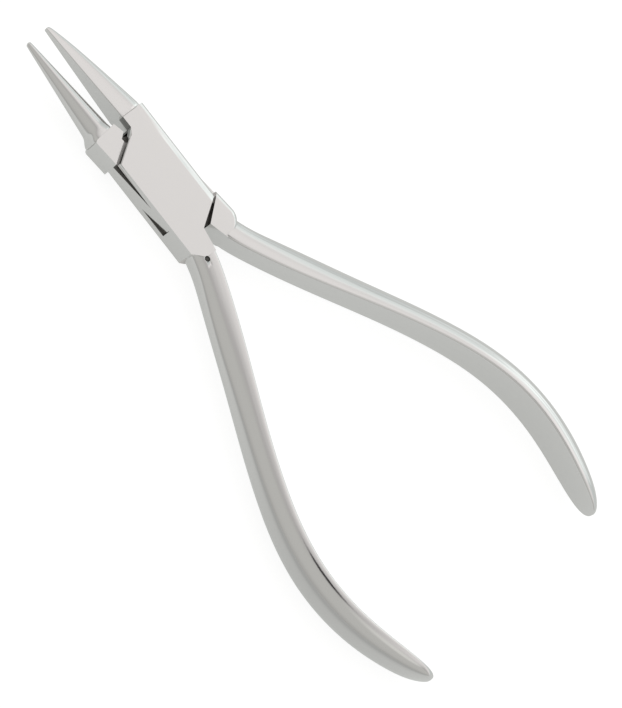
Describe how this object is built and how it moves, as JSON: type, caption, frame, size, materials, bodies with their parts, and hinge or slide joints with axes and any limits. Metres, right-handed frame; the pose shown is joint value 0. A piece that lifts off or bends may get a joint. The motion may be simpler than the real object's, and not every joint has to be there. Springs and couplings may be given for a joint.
{
  "type": "orthodontic pliers",
  "caption": "Slim bird-beak wire-bending pliers in polished steel, with a flush box joint, a flat-sided beak facing a round one, and bowed D-section handles.",
  "frame": {"origin": "middle of the bounding box's underside, with the pliers lying flat on their handles", "axes": "+Y towards the beak tips, +Z out of the front cheek along the pivot axis, +X towards the side of the flat-sided beak"},
  "size_m": [0.0614, 0.1294, 0.0089],
  "materials": {
    "polished_steel": "polished",
    "pin_steel": "polished"
  },
  "bodies": {
    "box_body": {"box_half": "polished_steel", "pivot_pin": "pin_steel"},
    "tongue_body": {"tongue_half": "polished_steel"}
  },
  "joints": [
    {"name": "jaw_pivot", "type": "hinge", "parent": "box_body", "child": "tongue_body", "pos_m": [0, 0.0311, 0.00445], "axis": [0, 0, 1], "range_deg": [-6.6, 18]}
  ]
}
